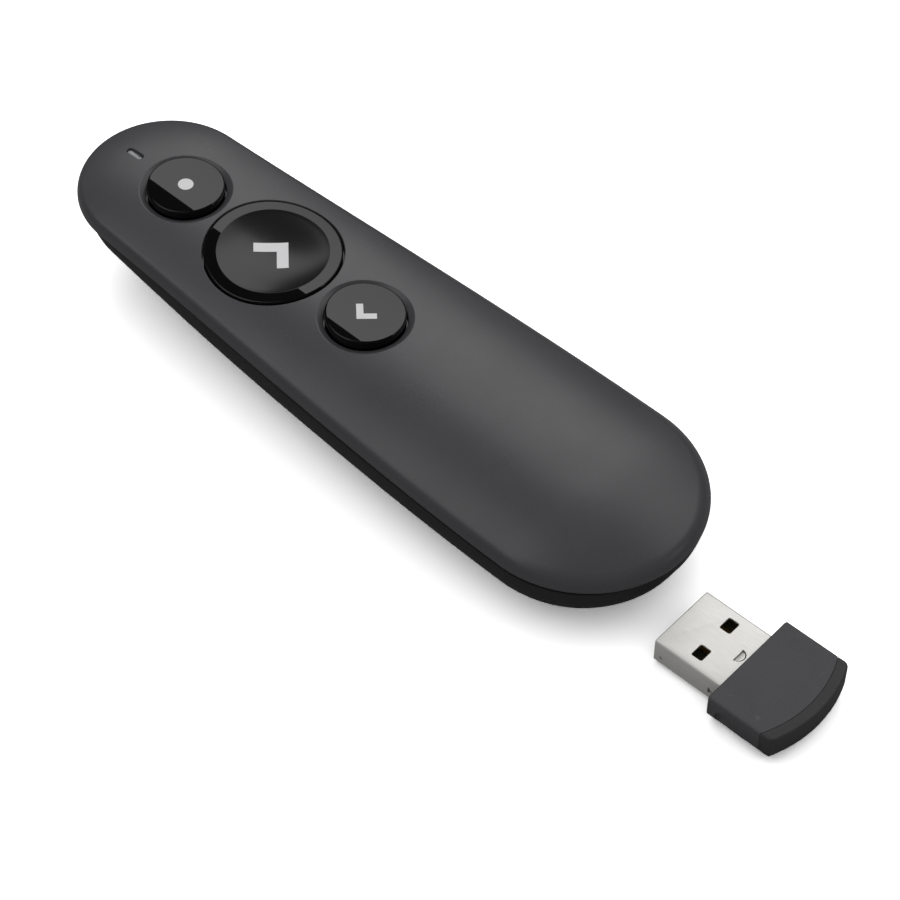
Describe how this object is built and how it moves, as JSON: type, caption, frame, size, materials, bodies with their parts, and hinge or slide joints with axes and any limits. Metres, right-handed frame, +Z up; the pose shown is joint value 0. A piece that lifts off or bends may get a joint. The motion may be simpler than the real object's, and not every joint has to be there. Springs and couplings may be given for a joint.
{
  "type": "wireless presentation clicker",
  "caption": "Hand-held slide clicker with round push buttons, a laser at its nose, a battery door below and a small plug-in receiver beside it.",
  "frame": {"origin": "on the flat underside, below the middle of the clicker's length", "axes": "+Y to the nose that the laser leaves, +Z up, X across"},
  "size_m": [0.0374, 0.1483, 0.0198],
  "materials": {
    "soft_shell": "soft-touch, fine even grain",
    "gloss_caps": "polished black",
    "clear_guide": "milky, translucent",
    "board_green": "solder mask",
    "black_plastic": "moulded",
    "spring_steel": "nickel plated",
    "white_plastic": "moulded",
    "ceramic": "fired",
    "brass": "turned",
    "clear_lens": "polished",
    "dark_window": "polished, dark red",
    "plug_steel": "satin",
    "gold": "plated",
    "receiver_grey": "fine matte grain"
  },
  "bodies": {
    "clicker": {"top_cover": "soft_shell", "bottom_case": "soft_shell", "light_guide": "clear_guide", "main_board": "board_green", "switch_bases": "black_plastic", "switch_covers": "spring_steel", "laser_dome": "spring_steel", "next_dome": "spring_steel", "back_dome": "spring_steel", "radio_chip": "black_plastic", "radio_shield": "spring_steel", "crystal": "spring_steel", "power_inductor": "black_plastic", "capacitors": "ceramic", "status_light": "clear_guide", "laser_barrel": "brass", "laser_lens": "clear_lens", "laser_diode": "spring_steel", "laser_leads": "spring_steel", "laser_window": "dark_window", "cell_can": "spring_steel", "cell_cap": "spring_steel", "positive_contact": "spring_steel", "negative_contact": "spring_steel", "negative_spring": "spring_steel", "case_screws": "spring_steel"},
    "laser_cap": {"laser_button": "gloss_caps"},
    "next_cap": {"next_button": "gloss_caps"},
    "back_cap": {"back_button": "gloss_caps"},
    "laser_stem": {"laser_plunger": "white_plastic"},
    "next_stem": {"next_plunger": "white_plastic"},
    "back_stem": {"back_plunger": "white_plastic"},
    "door": {"battery_door": "soft_shell"},
    "receiver": {"plug_shell": "plug_steel", "plug_tongue": "white_plastic", "plug_contacts": "gold", "receiver_board": "board_green", "receiver_chip": "black_plastic", "receiver_housing": "receiver_grey", "receiver_end_cap": "receiver_grey"}
  },
  "joints": [
    {"name": "laser_press", "type": "slide", "parent": "clicker", "child": "laser_cap", "axis": [0, 0.0349, -0.9994], "range_m": [0, 0.0003], "stiffness_N_per_m": 1500, "springref_m": -0.0002},
    {"name": "next_press", "type": "slide", "parent": "clicker", "child": "next_cap", "axis": [0, 0.0349, -0.9994], "range_m": [0, 0.0003], "stiffness_N_per_m": 1500, "springref_m": -0.0002},
    {"name": "back_press", "type": "slide", "parent": "clicker", "child": "back_cap", "axis": [0, 0.0349, -0.9994], "range_m": [0, 0.0003], "stiffness_N_per_m": 1500, "springref_m": -0.0002},
    {"name": "laser_stem_slide", "type": "slide", "parent": "clicker", "child": "laser_stem", "axis": [0, 0.0349, -0.9994], "range_m": [0, 0.0003], "deforming": ["laser_dome"]},
    {"name": "next_stem_slide", "type": "slide", "parent": "clicker", "child": "next_stem", "axis": [0, 0.0349, -0.9994], "range_m": [0, 0.0003], "deforming": ["next_dome"]},
    {"name": "back_stem_slide", "type": "slide", "parent": "clicker", "child": "back_stem", "axis": [0, 0.0349, -0.9994], "range_m": [0, 0.0003], "deforming": ["back_dome"]},
    {"name": "door_slide", "type": "slide", "parent": "clicker", "child": "door", "axis": [0, -1, 0], "range_m": [0, 0.004]},
    {"name": "receiver_slide", "type": "slide", "parent": "clicker", "child": "receiver", "axis": [0, -1, 0], "range_m": [0, 0.04]}
  ],
  "couplings": [
    {"joint": "laser_stem_slide", "follows": "laser_press", "ratio": 1},
    {"joint": "next_stem_slide", "follows": "next_press", "ratio": 1},
    {"joint": "back_stem_slide", "follows": "back_press", "ratio": 1}
  ]
}
